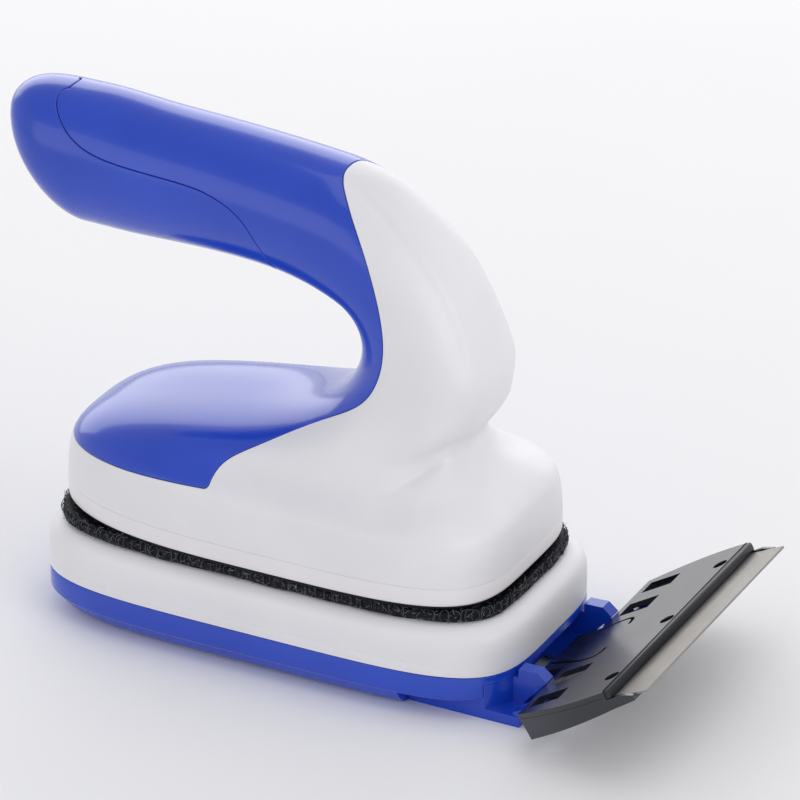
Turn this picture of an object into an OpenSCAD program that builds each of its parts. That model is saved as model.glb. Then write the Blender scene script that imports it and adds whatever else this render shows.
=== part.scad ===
// Handled magnetic glass cleaner: a floating inner half, an outer half with a
// C-shaped handle, and a scraper that slides off two tabs on the inner half.
// X runs from the handle's tip to the blade, Y across, Z up. The origin is the
// centre of the inner half's flat bottom.

/* [Inner half] */
// Length of the inner half
inner_length = 139.5; // [138:0.5:142]
// Width of the inner half
inner_width = 74.6; // [73:0.2:77]
// Height of the blue keel
keel_height = 12; // [11.5:0.25:12.5]
// Height of the inner half's white top
inner_height = 26; // [25.5:0.25:27]

/* [Pads] */
// Thickness of the hook-and-loop pad that faces the glass
hook_pad_thick = 3.2; // [2.5:0.1:4]
// Thickness of the felt under the outer half
felt_thick = 1.3; // [1:0.1:2]

/* [Outer half] */
// Height of the base plate under the outer half
base_plate_height = 5.2; // [4.6:0.1:6]
// Wall thickness of the moulded shells
wall = 2.4; // [2:0.1:2.6]
// Width of a hairline seam between two mouldings
seam = 0.3; // [0.2:0.05:0.4]

/* [Magnets] */
// Length of one magnet block
magnet_length = 26; // [22:0.5:26.5]
// Width of one magnet block
magnet_width = 21; // [18:0.5:21]
// Thickness of one magnet block
magnet_thick = 10; // [8:0.5:10]

/* [Scraper] */
// Tilt of the scraper's cover above the horizontal, in degrees
scraper_tilt = 31.2; // [29:0.2:33]
// Length of the blade's edge
blade_width = 84.6; // [80:0.2:86]
// Thickness of the blade
blade_thick = 0.6; // [0.4:0.1:0.8]

/* [Hidden] */

blue = "#2a41b8";
white = "#e4e4e8";
black = "#16181c";
smoke = "#3a3d44";
steel = "#b8bac0";
ferrite = "#3c3d42";

// ---- inner half: sizes worked out from the driving dimensions ----
inner_half_length = inner_length / 2;
inner_half_width = inner_width / 2;
inner_roundness = 4.6;
seal_thick = 0.6;
keel_wall = 3.2;
keel_floor = 2.4;
keel_recess_x = 42;       // ahead of this the keel's floor steps up over the scraper mount
keel_recess = 5.4;
keel_front_x = 62.4;      // the keel's front wall; only its top flange runs on ahead
keel_flange = 2;
keel_nose_half = 29.5;    // half width of the notch for the mount's front wall
shell_foot = keel_height + seal_thick;
shell_ceiling = inner_height - wall;
keel_screw_x = 34;
keel_screw_y = 27.5;

// ---- stack of pads and the outer half's foot ----
pad_centre_x = -0.9;
pad_half_length = 66;
pad_half_width = 34.5;
pad_roundness = 4.5;
felt_z = inner_height + hook_pad_thick;
foot_z = felt_z + felt_thick;
base_top = foot_z + base_plate_height;
body_z = base_top + seam;

// ---- outer half: key sections from the foot, up the neck and along the handle ----
// Each is [lower or rear x, z, upper or front x, z, half width, front and rear roundness],
// with z above the outer half's foot.
KEYS = [
    [-68.2,  5.4,  63.3,   5.4, 36.0, 4.2, 2.9],     // side wall
    [-68.0, 10.0,  63.1,  10.0, 35.8, 4.2, 2.9],
    [-67.6, 14.0,  62.6,  14.0, 35.3, 4.2, 2.9],
    [-66.2, 18.0,  61.5,  18.0, 34.3, 4.0, 2.9],     // shoulder
    [-62.6, 21.2,  58.6,  21.2, 31.9, 3.6, 3.1],
    [-55.5, 24.2,  54.0,  24.2, 29.2, 3.0, 3.2],     // deck
    [-43.0, 27.3,  50.0,  27.3, 27.2, 2.7, 3.0],
    [-27.0, 30.2,  47.8,  30.2, 25.6, 2.5, 2.8],
    [-10.0, 33.6,  47.0,  34.0, 23.6, 2.5, 2.5],     // foot of the neck
    [  5.0, 39.2,  51.0,  41.0, 21.2, 2.6, 2.4],
    [ 13.8, 47.5,  53.5,  49.5, 19.8, 2.8, 2.4],
    [ 17.0, 56.5,  52.9,  58.0, 19.1, 2.9, 2.4],     // middle of the neck
    [ 14.6, 64.4,  47.8,  71.0, 18.6, 2.9, 2.35],
    [  8.2, 68.8,  39.2,  85.0, 18.1, 2.7, 2.3],
    [ -2.0, 71.2,  24.6,  98.2, 17.4, 2.4, 2.25],    // bend into the handle
    [-15.0, 72.6,   6.0, 103.9, 16.7, 2.2, 2.2],
    [-33.0, 72.8, -24.0, 106.8, 16.0, 2.2, 2.2],     // handle
    [-50.0, 72.4, -46.0, 108.2, 15.8, 2.2, 2.2],
    [-64.0, 72.6, -64.0, 109.6, 15.6, 2.2, 2.2]
];
last_key = len(KEYS) - 1;
tip_length = 23.4;        // the handle's round end, beyond the last key
tip_axis_z = 102.5;       // height at which the tip comes to its end
tip_rings = 7;

// Side view of the seam between the white body and the blue spine, from the
// handle's top down the neck and back along the rear deck.
SPINE_SEAM = [
    [8.6, 137], [11.2, 132.9], [17.2, 126.5], [24.3, 114.5], [28.7, 99], [28.4, 87.5],
    [24.8, 78.9], [16.5, 72], [1, 63.7], [-9.8, 57.8], [-13.6, 53.6], [-14.2, 49.9]
];
SPINE_EDGE_REAR = [[-40, 48.5], [-75, 47.2]];
// Side view of the seam between the handle's top and its belly and tip.
TAIL_SEAM = [
    [-70.2, 139.9], [-71.5, 138.6], [-67, 133.6], [-60.8, 129.5], [-50.1, 127], [-32.3, 125.9],
    [-21.9, 124.4], [-13.5, 120.4], [-8.6, 114.2], [-6.2, 108.5], [-4.8, 99]
];

ring_points = 44;
plan_points = 72;
cavity_ring_points = 28;

// ---- magnets ----
magnet_gap = 1.5;
magnet_columns = 3;
magnet_rows = 2;
yoke_thick = 2;
inner_magnet_z = shell_ceiling - magnet_thick;
outer_magnet_z = foot_z + wall;
magnets_length = magnet_columns * magnet_length + (magnet_columns - 1) * magnet_gap;
magnets_width = magnet_rows * magnet_width + (magnet_rows - 1) * magnet_gap;

// ---- screws ----
screw_shank_r = 1.4;
screw_head_r = 2.7;
screw_head_h = 1.5;
head_recess = 1.9;
head_recess_r = 3.1;
screw_play = 0.25;
boss_r = 3.4;
base_front_screw = [50, 19];
base_rear_screw = [-54, 15];
base_screw_length = 13;
tail_screw_x = [-58, -22];
tail_boss_r = 3.2;

// ---- scraper: u runs up the cover's slope, n is its normal ----
scraper_x = 78.4;         // rear top edge of the cover
scraper_z = 10.5;
cover_length = 31.9;
cover_rear_half = 39.4;
cover_front_half = 43.8;
cover_thick = 1.4;
holder_rear_depth = 7.6;
holder_front_depth = 5;
holder_wall = 2;
blade_tilt_less = 5.1;    // the blade lies this much flatter than the cover
blade_root_u = 20;
blade_root_drop = 1.5;    // top of the blade's rear edge below the cover's upper face
blade_reach = 21.4;
lip_reach = 6;            // how far the lip under the blade runs on past the cover
pin_u = 27.2;
pin_r = 1.9;
pin_spacing = 33;
slot_u = [2.2, 12];
inner_slot_y = [16.2, 23.8];
outer_slot_y = [30.6, 37];
tongue_half = 11;
tongue_back = 8.6;
tongue_tooth = 1.2;       // how far the tongue's tooth stands below the cover
lug_inner_y = 17.5;
lug_outer_y = 21.5;
tab_inner_y = 25;
tab_outer_y = 29;
tab_length = 8;
tab_thick = 2;
tab_play = 0.4;
tab_drop = 2.3;           // top of a tab below the cover's upper face
tab_root = 9;             // how far behind the cover's edge a tab starts

// =================== shared shapes ===================

function signed_power(v, e) = sign(v) * pow(abs(v), e);

// A plan outline with flat sides and round corners.
function plan_outline(half_l, half_w, front, rear, count) = [
    for (i = [0:count - 1])
        let (a = 360 * i / count, n = cos(a) > 0 ? front : rear)
        [half_l * signed_power(cos(a), 2 / n), half_w * signed_power(sin(a), 2 / n)]
];

// One ring of the outer half's skin, from a key section.
function section_ring(k, count) = [
    for (i = [0:count - 1])
        let (
            a = 360 * i / count,
            n = cos(a) > 0 ? k[5] : k[6],
            along = signed_power(cos(a), 2 / n)
        )
        [
            (k[0] + k[2]) / 2 + (k[2] - k[0]) / 2 * along,
            k[4] * signed_power(sin(a), 2 / n),
            (k[1] + k[3]) / 2 + (k[3] - k[1]) / 2 * along + foot_z
        ]
];

// A smooth value between b and c, with a and d as their outer neighbours.
function smooth_between(a, b, c, d, t) =
    0.5 * (2 * b + (c - a) * t + (2 * a - 5 * b + 4 * c - d) * t * t + (3 * b - a - 3 * c + d) * t * t * t);

function clamp_index(i, list) = max(0, min(len(list) - 1, i));

function smooth_list(list, steps) = concat(
    [
        for (i = [0:len(list) - 2], j = [0:steps - 1])
            smooth_between(list[clamp_index(i - 1, list)], list[i], list[i + 1],
                           list[clamp_index(i + 2, list)], j / steps)
    ],
    [list[len(list) - 1]]
);

// The handle's round end: its top stays full for longer than its belly.
function tip_key(j) =
    let (
        k = KEYS[last_key],
        t = sin(90 * j / tip_rings),
        top = j == tip_rings ? 0.02 : pow(1 - pow(t, 4.5), 1 / 2.4),
        under = j == tip_rings ? 0.02 : pow(1 - pow(t, 1.7), 1 / 1.6),
        wide = j == tip_rings ? 0.02 : pow(1 - pow(t, 2.9), 1 / 2.2)
    )
    [
        k[0] - tip_length * t, tip_axis_z + (k[1] - tip_axis_z) * under,
        k[2] - tip_length * t, tip_axis_z + (k[3] - tip_axis_z) * top,
        k[4] * wide, k[5], k[6]
    ];

// How far a cavity section is moved back along the path, so that decks keep their thickness.
function cavity_shift(i) = i <= 8 ? wall : i <= 10 ? wall / 2 : 0;

// A key section drawn in by the wall on all sides.
function cavity_key(i) =
    let (
        k = KEYS[i],
        span = norm([k[2] - k[0], k[3] - k[1]]),
        dir = [k[2] - k[0], k[3] - k[1]] / span,
        back = [dir[1], -dir[0]] * cavity_shift(i)
    )
    [
        k[0] + wall * dir[0] + back[0], k[1] + wall * dir[1] + back[1],
        k[2] - wall * dir[0] + back[0], k[3] - wall * dir[1] + back[1],
        k[4] - wall, k[5], k[6]
    ];

// A solid skinned over rings that all have the same number of points.
module skin(rings) {
    n = len(rings[0]);
    last = len(rings) - 1;
    polyhedron(
        points = [for (r = rings) for (p = r) p],
        faces = concat(
            [[for (j = [0:n - 1]) j]],
            [
                for (i = [0:last - 1], j = [0:n - 1])
                    let (a = i * n + j, b = i * n + (j + 1) % n)
                    [a, a + n, b]
            ],
            [
                for (i = [0:last - 1], j = [0:n - 1])
                    let (a = i * n + j, b = i * n + (j + 1) % n)
                    [b, a + n, b + n]
            ],
            [[for (j = [n - 1:-1:0]) last * n + j]]
        )
    );
}

// A flat-bottomed block with the inner half's plan and a stepped-in edge: steps are [z, inset].
module inner_block(steps) {
    skin([
        for (s = steps)
            [
                for (p = plan_outline(inner_half_length - s[1], inner_half_width - s[1],
                                      inner_roundness, inner_roundness, plan_points))
                    [p[0], p[1], s[0]]
            ]
    ]);
}

module inner_plan(inset) {
    polygon(plan_outline(inner_half_length - inset, inner_half_width - inset,
                         inner_roundness, inner_roundness, plan_points));
}

// The outer half's foot, as a plan outline.
module foot_plan(inset) {
    k = KEYS[0];
    translate([(k[0] + k[2]) / 2, 0])
        polygon(plan_outline((k[2] - k[0]) / 2 - inset, k[4] - inset, k[5], k[6], plan_points));
}

module pad_plan(inset) {
    translate([pad_centre_x, 0])
        polygon(plan_outline(pad_half_length - inset, pad_half_width - inset,
                             pad_roundness, pad_roundness, plan_points));
}

module slab(z0, z1) {
    translate([0, 0, z0]) linear_extrude(height = z1 - z0) children();
}

// A block from its lowest to its highest corner.
module block(low, high) {
    translate(low) cube(high - low);
}

// A pan-head screw that stands on its head at z = 0 and points up.
module screw(length) {
    cylinder(r = screw_head_r, h = screw_head_h, $fn = 32);
    translate([0, 0, screw_head_h]) cylinder(r = screw_shank_r, h = length - screw_head_h, $fn = 24);
}

// The hole for that screw: a recess for its head and a clear hole for its shank.
module screw_hole(length) {
    translate([0, 0, -1]) cylinder(r = head_recess_r, h = 1 + head_recess, $fn = 32);
    cylinder(r = screw_shank_r + screw_play, h = length, $fn = 24);
}

module at_keel_screws() {
    for (x = [-keel_screw_x, keel_screw_x], y = [-keel_screw_y, keel_screw_y])
        translate([x, y, 0]) children();
}

module at_base_screws(spot) {
    for (y = [-spot[1], spot[1]])
        translate([spot[0], y, 0]) children();
}

module at_mount_screws() {
    for (x = [47, 57], y = [-20, 20])
        translate([x, y, 0]) children();
}

module magnet_grid() {
    for (i = [0:magnet_columns - 1], j = [0:magnet_rows - 1])
        translate([
            i * (magnet_length + magnet_gap) - magnets_length / 2,
            j * (magnet_width + magnet_gap) - magnets_width / 2, 0
        ])
            cube([magnet_length, magnet_width, magnet_thick]);
}

// A moulded grid that keeps the blocks apart.
module magnet_frame(rim, height) {
    play = 0.2;
    difference() {
        block([-magnets_length / 2 - rim, -magnets_width / 2 - rim, 0],
              [magnets_length / 2 + rim, magnets_width / 2 + rim, height]);
        for (i = [0:magnet_columns - 1], j = [0:magnet_rows - 1])
            translate([
                i * (magnet_length + magnet_gap) - magnets_length / 2 - play,
                j * (magnet_width + magnet_gap) - magnets_width / 2 - play, -1
            ])
                cube([magnet_length + 2 * play, magnet_width + 2 * play, height + 2]);
    }
}

// =================== inner half ===================

module keel_shell() {
    cavity_inset = keel_wall;
    color(blue) difference() {
        union() {
            difference() {
                inner_block([[0, 5.8], [1.4, 2.9], [3.4, 1], [5.9, 0], [keel_height, 0]]);
                block([keel_recess_x, -50, -1], [80, 50, keel_recess]);
                block([keel_front_x, -keel_nose_half, -1], [80, keel_nose_half, keel_height - keel_flange]);
                slab(keel_floor, keel_height + 1) intersection() {
                    inner_plan(cavity_inset);
                    translate([-100, -50]) square([100 + keel_recess_x - keel_floor, 100]);
                }
                slab(keel_recess + keel_floor, keel_height + 1) intersection() {
                    inner_plan(cavity_inset);
                    translate([-100, -50]) square([100 + keel_front_x - keel_floor, 100]);
                }
            }
            at_mount_screws() translate([0, 0, keel_recess + 1]) cylinder(r = boss_r, h = 4, $fn = 32);
        }
        at_keel_screws() screw_hole(keel_floor + 2);
        at_mount_screws() cylinder(r = screw_shank_r + screw_play, h = 9, $fn = 24);
    }
}

module inner_seal() {
    color(black) slab(keel_height, shell_foot) difference() {
        inner_plan(0.5);
        inner_plan(keel_wall - 0.4);
    }
}

module inner_shell() {
    color(white) difference() {
        union() {
            difference() {
                inner_block([
                    [shell_foot, 0], [inner_height - 5.5, 0], [inner_height - 2.9, 0.8],
                    [inner_height - 1.2, 2.4], [inner_height - 0.3, 4.2], [inner_height, 6]
                ]);
                slab(shell_foot - 1, shell_ceiling) inner_plan(keel_wall);
            }
            at_keel_screws() translate([0, 0, keel_floor + seam])
                cylinder(r = boss_r, h = shell_ceiling - keel_floor, $fn = 32);
        }
        at_keel_screws() cylinder(r = screw_shank_r + screw_play, h = base_screw_length + 1, $fn = 24);
    }
}

module keel_screws() {
    color(steel) at_keel_screws() translate([0, 0, head_recess - screw_head_h]) screw(base_screw_length);
}

module inner_magnets() {
    color(ferrite) translate([0, 0, inner_magnet_z]) magnet_grid();
}

module inner_yoke_plate() {
    color(steel) block([-magnets_length / 2, -magnets_width / 2, inner_magnet_z - yoke_thick],
                       [magnets_length / 2, magnets_width / 2, inner_magnet_z]);
}

module inner_magnet_retainer() {
    rim = 1.3;
    height = 4;
    color(black) translate([0, 0, shell_ceiling - height]) magnet_frame(rim, height);
}

module hook_pad() {
    color(black) slab(inner_height, felt_z) pad_plan(0);
}

// Side view of a lug: it leans back from its tip to the floor, and its top steps down
// under the keel's flange.
function lug_profile() =
    let (under_flange = keel_height - keel_flange - 0.1, clear_of_flange = inner_half_length + 0.2)
    [
        [63, 0.5], [63, under_flange], [clear_of_flange, under_flange], [clear_of_flange, 12.3],
        [75.3, 12.5], [78, 10.3], [71.6, 3], [71.6, 0.5]
    ];

module scraper_mount() {
    half = 29.2;
    slab_front = 74;
    slab_top = 3;
    wall_top = keel_height - keel_flange - 0.1;
    wall_front = 64.2;
    window_x = [64.6, 68.4];
    window_half = 4.4;
    thinned = 1.9;          // the floor round the window is hollowed this far from below
    thinned_half = 10;
    color(blue) difference() {
        union() {
            block([keel_recess_x + 0.3, -half, 0], [wall_front, half, keel_recess - 0.05]);
            block([wall_front - 1, -half, 0], [slab_front, half, slab_top]);
            block([keel_front_x + 0.1, -half, 0], [wall_front, half, wall_top]);
            for (s = [-1, 1]) {
                // beside each lug the front wall comes forward, flush with the keel's outline
                intersection() {
                    slab(0, wall_top) inner_plan(0);
                    block([keel_front_x + 0.1, s > 0 ? lug_inner_y : -half, -1],
                          [80, s > 0 ? half : -lug_inner_y, wall_top + 1]);
                }
                y0 = s > 0 ? lug_inner_y : -lug_outer_y;
                translate([0, y0 + lug_outer_y - lug_inner_y, 0]) rotate([90, 0, 0])
                    linear_extrude(height = lug_outer_y - lug_inner_y) polygon(lug_profile());
                tab(s);
            }
        }
        block([window_x[0], -window_half, -1], [window_x[1], window_half, slab_top + 1]);
        block([window_x[0] - 3, -thinned_half, -1], [window_x[1] + 1, thinned_half, thinned]);
        at_mount_screws() screw_hole(keel_recess + 1);
    }
}

// One of the two tabs that the blade holder slides onto.
module tab(side) {
    at_scraper() translate([-tab_root, side > 0 ? tab_inner_y : -tab_outer_y, -tab_drop - tab_thick])
        cube([tab_root + tab_length, tab_outer_y - tab_inner_y, tab_thick]);
}

module mount_screws() {
    color(steel) at_mount_screws() translate([0, 0, head_recess - screw_head_h]) screw(8);
}

// =================== outer half ===================

module felt_pad() {
    color(black) slab(felt_z, foot_z) foot_plan(1.2);
}

module base_plate() {
    edge = 0.6;
    color(white) difference() {
        union() {
            slab(foot_z, foot_z + edge) foot_plan(edge / 2);
            slab(foot_z + edge, base_top) foot_plan(0);
        }
        slab(foot_z + wall, base_top + 1) foot_plan(wall);
        at_base_screws(base_front_screw) translate([0, 0, foot_z]) screw_hole(wall + 2);
        at_base_screws(base_rear_screw) translate([0, 0, foot_z]) screw_hole(wall + 2);
    }
}

module base_screws() {
    color(steel) {
        at_base_screws(base_front_screw)
            translate([0, 0, foot_z + head_recess - screw_head_h]) screw(base_screw_length);
        at_base_screws(base_rear_screw)
            translate([0, 0, foot_z + head_recess - screw_head_h]) screw(base_screw_length);
    }
}

module outer_magnets() {
    color(ferrite) translate([-2.5, 0, outer_magnet_z]) magnet_grid();
}

module outer_yoke_plate() {
    color(steel) translate([-2.5, 0, outer_magnet_z + magnet_thick])
        block([-magnets_length / 2, -magnets_width / 2, 0], [magnets_length / 2, magnets_width / 2, yoke_thick]);
}

module outer_magnet_retainer() {
    color(black) translate([-2.5, 0, outer_magnet_z]) magnet_frame(2, 4);
}

// The whole outer half above its base plate, as if moulded in one.
module outer_solid() {
    sections = smooth_list(KEYS, 2);
    tip = [for (j = [1:tip_rings]) tip_key(j)];
    skin([for (k = concat(sections, tip)) section_ring(k, ring_points)]);
}

// The hollow inside it, open at the foot and closed in the handle's tip.
module outer_cavity() {
    inside = [for (i = [0:last_key]) cavity_key(i)];
    k = inside[last_key];
    end = [k[0] - 11, k[1] + 6, k[2] - 11, k[3] - 3, k[4] - 3.5, k[5], k[6]];
    skin([for (s = concat(inside, [end])) section_ring(s, cavity_ring_points)]);
}

// Everything on the blue side of the seam down the neck.
module spine_region(grow) {
    seam_line = smooth_list(SPINE_SEAM, 3);
    side_extrude()
        offset(delta = grow)
            polygon(concat(seam_line, SPINE_EDGE_REAR, [[-110, 47.2], [-110, 160], [8.6, 160]]));
}

// Everything under and behind the handle's parting line.
module tail_region(grow) {
    seam_line = smooth_list(TAIL_SEAM, 3);
    side_extrude()
        offset(delta = grow)
            polygon(concat([[-69, 142]], seam_line, [[-4.8, 90], [-110, 90], [-110, 160], [-69, 160]]));
}

// Extrudes a side view (x, z) right across the object.
module side_extrude() {
    translate([0, 60, 0]) rotate([90, 0, 0]) linear_extrude(height = 120) children();
}

// A boss that hangs from a shell down to the base plate's floor.
module base_boss() {
    translate([0, 0, foot_z + wall + 0.1]) cylinder(r = boss_r, h = 60, $fn = 24);
}

module base_boss_hole() {
    cylinder(r = screw_shank_r + screw_play, h = foot_z + base_screw_length + 1.5, $fn = 24);
}

module body_shell() {
    color(white) resize([0, 0, 0]) difference() {
        intersection() {
            union() {
                difference() {
                    outer_solid();
                    outer_cavity();
                    spine_region(seam / 2);
                }
                intersection() {
                    at_base_screws(base_front_screw) base_boss();
                    foot_column();
                }
            }
            foot_column();
        }
        at_base_screws(base_front_screw) base_boss_hole();
    }
}

// Trims bosses to the outer half's skin, extended down to the base plate's floor.
module foot_column() {
    union() {
        outer_solid();
        slab(foot_z + wall, body_z + 0.1) foot_plan(wall + seam);
    }
}

module spine_shell() {
    color(blue) resize([0, 0, 0]) difference() {
        union() {
            difference() {
                intersection() {
                    outer_solid();
                    spine_region(-seam / 2);
                }
                outer_cavity();
                tail_region(seam / 2);
            }
            intersection() {
                at_base_screws(base_rear_screw) base_boss();
                foot_column();
            }
            tail_bosses();
        }
        at_base_screws(base_rear_screw) base_boss_hole();
        tail_screw_holes();
    }
}

module at_tail_screws() {
    for (x = tail_screw_x) translate([x, 0, foot_z + 72.6]) children();
}

// Bosses that hang from the handle's top and take the tail's screws.
module tail_bosses() {
    intersection() {
        at_tail_screws() translate([0, 0, 12]) cylinder(r = tail_boss_r, h = 40, $fn = 24);
        outer_solid();
    }
}

module tail_screw_holes() {
    at_tail_screws() cylinder(r = screw_shank_r + screw_play, h = 24, $fn = 24);
}

module tail_shell() {
    color(blue) resize([0, 0, 0]) difference() {
        union() {
            difference() {
                intersection() {
                    outer_solid();
                    tail_region(-seam / 2);
                }
                outer_cavity();
            }
            intersection() {
                at_tail_screws() cylinder(r = tail_boss_r + 2, h = 11.8, $fn = 24);
                outer_solid();
            }
        }
        at_tail_screws() translate([0, 0, -4]) cylinder(r = head_recess_r, h = 11, $fn = 24);
        tail_screw_holes();
    }
}

module tail_screws() {
    color(steel) at_tail_screws() translate([0, 0, 5.4]) screw(base_screw_length + 2);
}

// =================== scraper ===================

// Places its children in the scraper's own frame: x up the slope, z along the normal.
module at_scraper() {
    translate([scraper_x, 0, scraper_z]) rotate([0, -scraper_tilt, 0]) children();
}

// Half of the cover's width at u, bulging towards the front.
function cover_half(u) =
    cover_rear_half + (cover_front_half - cover_rear_half) * sin(90 * max(0, u) / cover_length)
    + 1.4 * sin(180 * max(0, u) / cover_length);

// One side of the cover's plan, from rear to front.
function cover_side(inset) = [
    for (i = [0:8])
        let (u = inset + (cover_length - 2 * inset) * i / 8)
        [u, cover_half(u) - inset]
];

// A plan that is the same on both sides, from the points of one side.
module mirrored_plan(side) {
    polygon(concat(side, [for (i = [len(side) - 1:-1:0]) [side[i][0], -side[i][1]]]));
}

module cover_outline(inset) {
    mirrored_plan(cover_side(inset));
}

module cover_slots() {
    for (s = [-1, 1], y = [inner_slot_y, outer_slot_y])
        translate([slot_u[0], s > 0 ? y[0] : -y[1]]) square([slot_u[1] - slot_u[0], y[1] - y[0]]);
}

module at_pins() {
    for (i = [-1:1]) translate([pin_u, i * pin_spacing, 0]) children();
}

// The upper face of the scraper: a thin cover with a raised front rim and a tongue behind.
module holder_cover() {
    rim = 1.6;
    rim_rise = 0.3;
    rim_depth = 2.2;
    color(smoke) at_scraper() difference() {
        union() {
            translate([0, 0, -cover_thick]) linear_extrude(height = cover_thick) difference() {
                union() {
                    cover_outline(0);
                    translate([-tongue_back, -tongue_half]) square([tongue_back + 1, 2 * tongue_half]);
                }
                cover_slots();
            }
            block([cover_length - rim, -cover_front_half, -rim_depth],
                  [cover_length, cover_front_half, rim_rise]);
            block([-tongue_back, -4, -cover_thick - tongue_tooth], [-tongue_back + 1.4, 4, -cover_thick]);
        }
        at_pins() translate([0, 0, -5]) cylinder(r = pin_r + 0.15, h = 10, $fn = 32);
    }
}

// Side view of the holder's underside, as [u, n] from rear to front.
function holder_profile() = [
    [0, -cover_thick - 0.05], [0.3, -holder_rear_depth], [cover_length - 1, -holder_front_depth - 0.2],
    [cover_length + lip_reach, -holder_front_depth + 0.3], [cover_length + lip_reach, -3.3],
    [cover_length - 0.2, -cover_thick - 0.05]
];

module holder_side_view(width) {
    translate([0, width / 2, 0]) rotate([90, 0, 0]) linear_extrude(height = width) polygon(holder_profile());
}

// The blade lies in this slot, flatter than the cover.
module at_blade() {
    translate([blade_root_u, 0, -blade_root_drop]) rotate([0, blade_tilt_less, 0]) children();
}

module blade_outline() {
    translate([0, -blade_width / 2]) square([blade_reach, blade_width]);
}

// The wedge under the cover: side walls, ribs, the lip under the blade and the tab pockets.
module blade_holder() {
    color(smoke) at_scraper() difference() {
        intersection() {
            holder_side_view(2 * cover_front_half + 10);
            translate([0, 0, -20]) linear_extrude(height = 30)
                mirrored_plan(concat(cover_side(0), [[cover_length + lip_reach, cover_front_half]]));
        }
        // hollow underneath, with a floor left under the blade
        translate([0, 0, -20]) linear_extrude(height = 30) intersection() {
            cover_outline(holder_wall);
            translate([0, -50]) square([blade_root_u - holder_wall, 100]);
        }
        block([cover_length - 1.8, -50, -2.3], [cover_length + 10, 50, 1]);
        at_blade() translate([-0.3, 0, -blade_thick - 0.05]) linear_extrude(height = 30)
            translate([0, -blade_width / 2 - 0.2]) square([60, blade_width + 0.4]);
        at_pins() translate([0, 0, -12]) cylinder(r = pin_r + 0.15, h = 20, $fn = 32);
        for (s = [-1, 1]) tab_pocket(s);
    }
}

// The notch in the holder's rear wall that a tab passes through.
module tab_pocket(side) {
    y0 = side > 0 ? tab_inner_y : -tab_outer_y;
    translate([-5, y0 - tab_play, -tab_drop - tab_thick - tab_play])
        cube([5 + tab_length + 1, tab_outer_y - tab_inner_y + 2 * tab_play, 2 * tab_thick + tab_drop]);
}

module blade() {
    color(steel) at_scraper() difference() {
        at_blade() translate([0, 0, -blade_thick]) linear_extrude(height = blade_thick) blade_outline();
        at_pins() translate([0, 0, -12]) cylinder(r = pin_r + 0.15, h = 20, $fn = 32);
    }
}

module blade_pins() {
    color(black) at_scraper() at_pins() translate([0, 0, -5.2]) cylinder(r = pin_r, h = 5, $fn = 32);
}

// =================== drawing ===================

keel_shell();
inner_seal();
inner_shell();
keel_screws();
inner_magnets();
inner_yoke_plate();
inner_magnet_retainer();
hook_pad();
scraper_mount();
mount_screws();
felt_pad();
base_plate();
base_screws();
outer_magnets();
outer_yoke_plate();
outer_magnet_retainer();
body_shell();
spine_shell();
tail_shell();
tail_screws();
blade_holder();
blade();
holder_cover();
blade_pins();
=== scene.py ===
import math

import bmesh
import bpy
import numpy as np
from mathutils import Matrix, Vector


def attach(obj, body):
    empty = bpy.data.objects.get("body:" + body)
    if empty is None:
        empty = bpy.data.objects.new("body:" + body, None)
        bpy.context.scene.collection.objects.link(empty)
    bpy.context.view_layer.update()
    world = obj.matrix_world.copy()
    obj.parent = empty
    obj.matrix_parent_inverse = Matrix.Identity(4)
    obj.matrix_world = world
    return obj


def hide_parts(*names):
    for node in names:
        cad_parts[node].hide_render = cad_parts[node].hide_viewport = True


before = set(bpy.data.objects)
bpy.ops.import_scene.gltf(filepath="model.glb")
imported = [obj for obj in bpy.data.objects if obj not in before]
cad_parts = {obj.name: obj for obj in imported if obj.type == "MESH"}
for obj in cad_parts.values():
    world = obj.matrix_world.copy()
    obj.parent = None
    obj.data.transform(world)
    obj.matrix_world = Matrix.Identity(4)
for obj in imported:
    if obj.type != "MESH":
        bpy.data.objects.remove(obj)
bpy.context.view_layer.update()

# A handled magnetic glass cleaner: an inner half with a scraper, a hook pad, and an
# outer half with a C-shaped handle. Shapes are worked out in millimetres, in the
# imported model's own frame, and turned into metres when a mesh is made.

MM = 0.001
SEED = 11                 # for the pads' uneven edges and yarn
UP = np.array((0, 0, 1))
OUTSIDE_X = 90            # cutting blocks reach this far, past the shells' ends
OUTSIDE_Y = 50            # and this far, past their sides

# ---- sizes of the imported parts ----
INNER_HALF_X = 69.75
INNER_HALF_Y = 37.3
INNER_ROUNDNESS = 4.6
KEEL_TOP = 12.0
SHELL_FOOT = 12.6
INNER_TOP = 26.0
PAD_TOP = 29.2
FOOT_Z = 30.5
BASE_TOP = 35.7
PAD_CENTRE_X = -0.9
PAD_HALF_X = 66.0
PAD_HALF_Y = 34.5
PAD_ROUNDNESS = 4.5
WALL = 3.2                # moulded walls of the inner half
SKIN_WALL = 1.8           # moulded walls of the outer half
LIP = 0.25                # thin lips on both shells that hide the seal between them
KEEL_FLOOR = 2.4
BAND_TOP = 14.9           # a slightly raised band runs along the foot of the white shell
BAND_RISE = 0.28
RECESS_X = 42.0           # ahead of this the keel's floor steps up over the bracket
RECESS_Z = 5.4
KEEL_FRONT_X = 62.4
KEEL_NOSE_HALF = 29.5
FLANGE_Z = 10.0

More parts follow.
